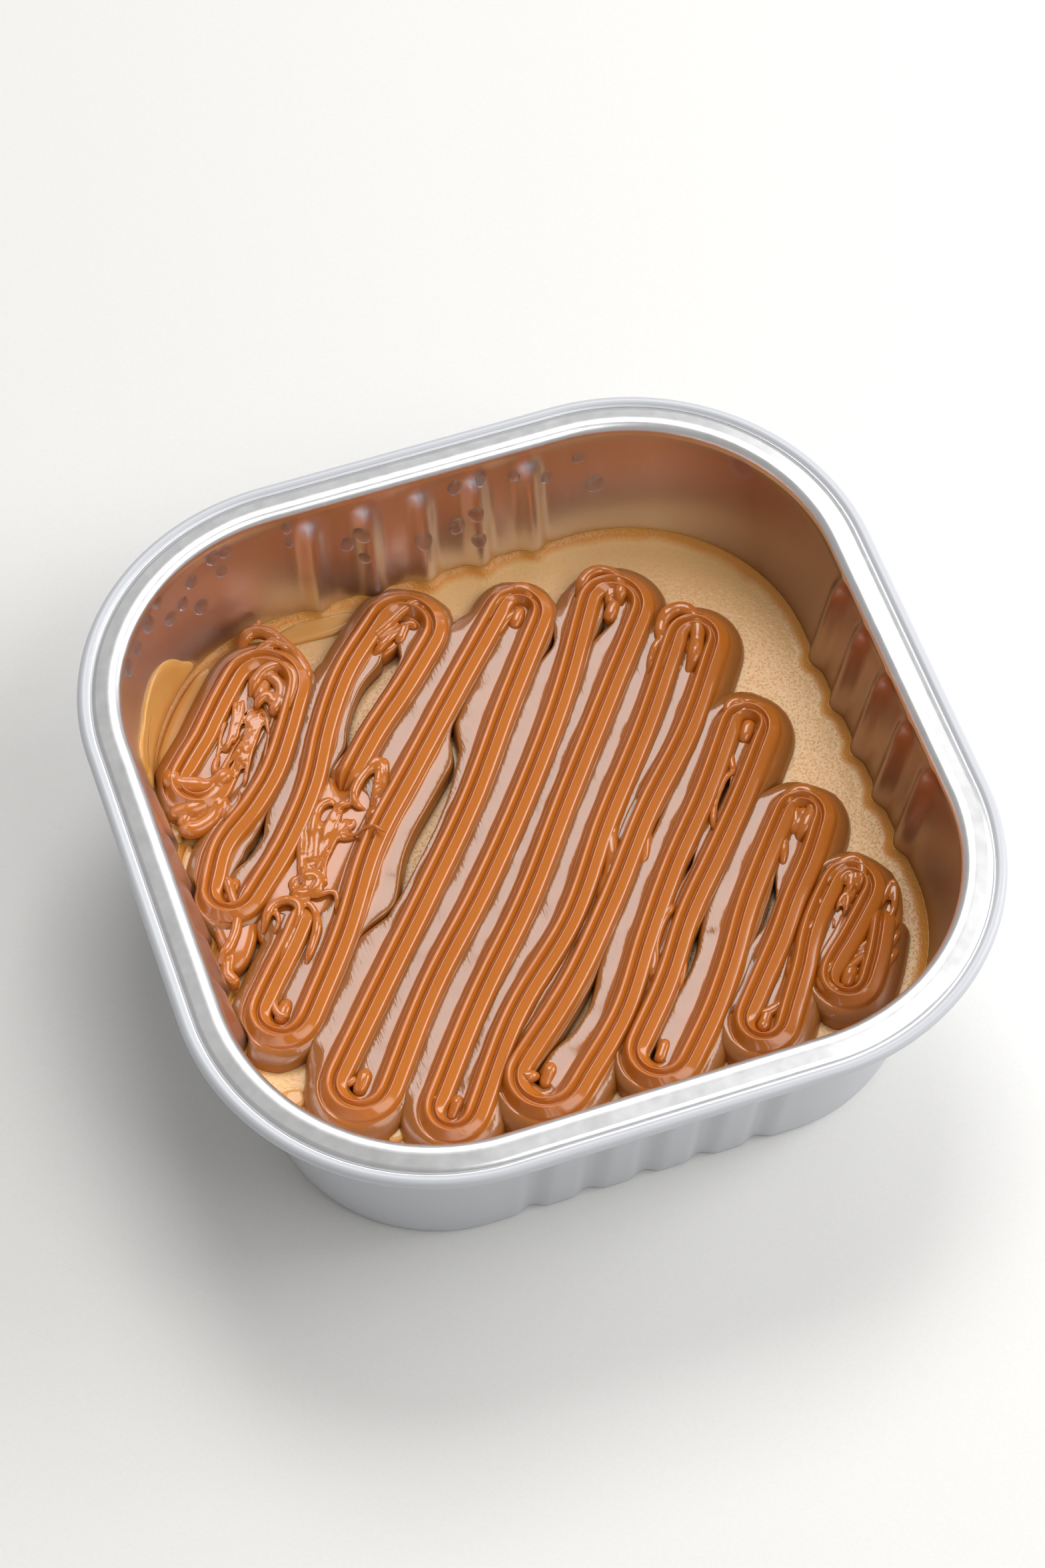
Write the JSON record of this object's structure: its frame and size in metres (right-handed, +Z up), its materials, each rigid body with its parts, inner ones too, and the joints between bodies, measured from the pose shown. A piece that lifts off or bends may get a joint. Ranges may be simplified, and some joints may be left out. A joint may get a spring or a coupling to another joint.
{
  "type": "caramel pudding in a foil dish",
  "caption": "Caramel pudding set in a square fluted foil dish, with a zigzag of thick glossy caramel piped over its top.",
  "frame": {"origin": "centre of the dish's base, on the surface that it stands on", "axes": "+Z is up; X and Y run along the dish's sides, with -Y the side nearest the viewer"},
  "size_m": [0.12, 0.12, 0.0393],
  "materials": {
    "foil": "bare, softly brushed foil inside and on the flange, pale lacquer outside",
    "pudding": "set custard, moist and satin",
    "caramel": "thick, smooth and very glossy"
  },
  "bodies": {
    "root": {"tray": "foil", "pudding": "pudding", "caramel_piping": "caramel"}
  },
  "joints": []
}
